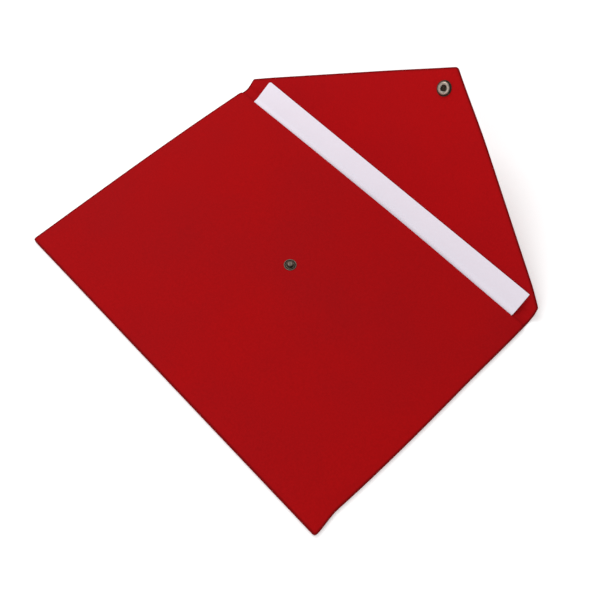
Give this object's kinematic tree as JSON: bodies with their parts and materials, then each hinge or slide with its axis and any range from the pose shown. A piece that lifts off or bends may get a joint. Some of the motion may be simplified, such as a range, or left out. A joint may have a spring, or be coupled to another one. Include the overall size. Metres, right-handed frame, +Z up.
{
  "type": "envelope document wallet",
  "caption": "Slim red cloth envelope wallet for loose sheets: a sewn pouch with a pointed flap that snaps shut, shown half open with a white sheet at its mouth.",
  "frame": {"origin": "middle of the back panel's underside, where the wallet lies on a table", "axes": "+X across the pouch, parallel to the fold; +Y from the pouch's bottom edge towards the fold and flap; +Z up from the table, out of the front panel"},
  "size_m": [0.3264, 0.3115, 0.0967],
  "materials": {
    "shell_cloth": "matt, very fine plain weave",
    "lining_cloth": "matt, very fine plain weave",
    "stiffener": "hidden board",
    "thread": "spun sewing thread",
    "snap_metal": "antique grey plating, rubbed bright on the high rings",
    "spring_wire": "bare spring wire",
    "card": "smooth white"
  },
  "bodies": {
    "pouch": {"back_shell": "shell_cloth", "back_board": "stiffener", "back_lining": "lining_cloth", "front_shell": "shell_cloth", "front_board": "stiffener", "front_lining": "lining_cloth", "bottom_seam": "shell_cloth", "side_seam_left": "shell_cloth", "side_seam_right": "shell_cloth", "seam_thread": "thread", "mouth_facing": "lining_cloth", "snap_stud": "snap_metal", "snap_post": "snap_metal", "fold_band": "shell_cloth"},
    "flap": {"flap_shell": "shell_cloth", "flap_board": "stiffener", "flap_seam": "shell_cloth", "flap_facing": "lining_cloth", "snap_cap": "snap_metal", "snap_socket": "snap_metal", "socket_spring": "spring_wire"},
    "sheet": {"document_sheet": "card"}
  },
  "joints": [
    {"name": "flap_hinge", "type": "hinge", "parent": "pouch", "child": "flap", "pos_m": [0, 0.1189, 0.0035], "axis": [1, 0, 0], "range_deg": [-51.27, 126.17], "deforming": ["fold_band", "document_sheet"]},
    {"name": "sheet_slide", "type": "slide", "parent": "pouch", "child": "sheet", "axis": [0, 1, 0], "range_m": [-0.0241, 0.0099]}
  ],
  "couplings": [
    {"joint": "sheet_slide", "follows": "flap_hinge", "m_per_rad": -0.010899}
  ]
}
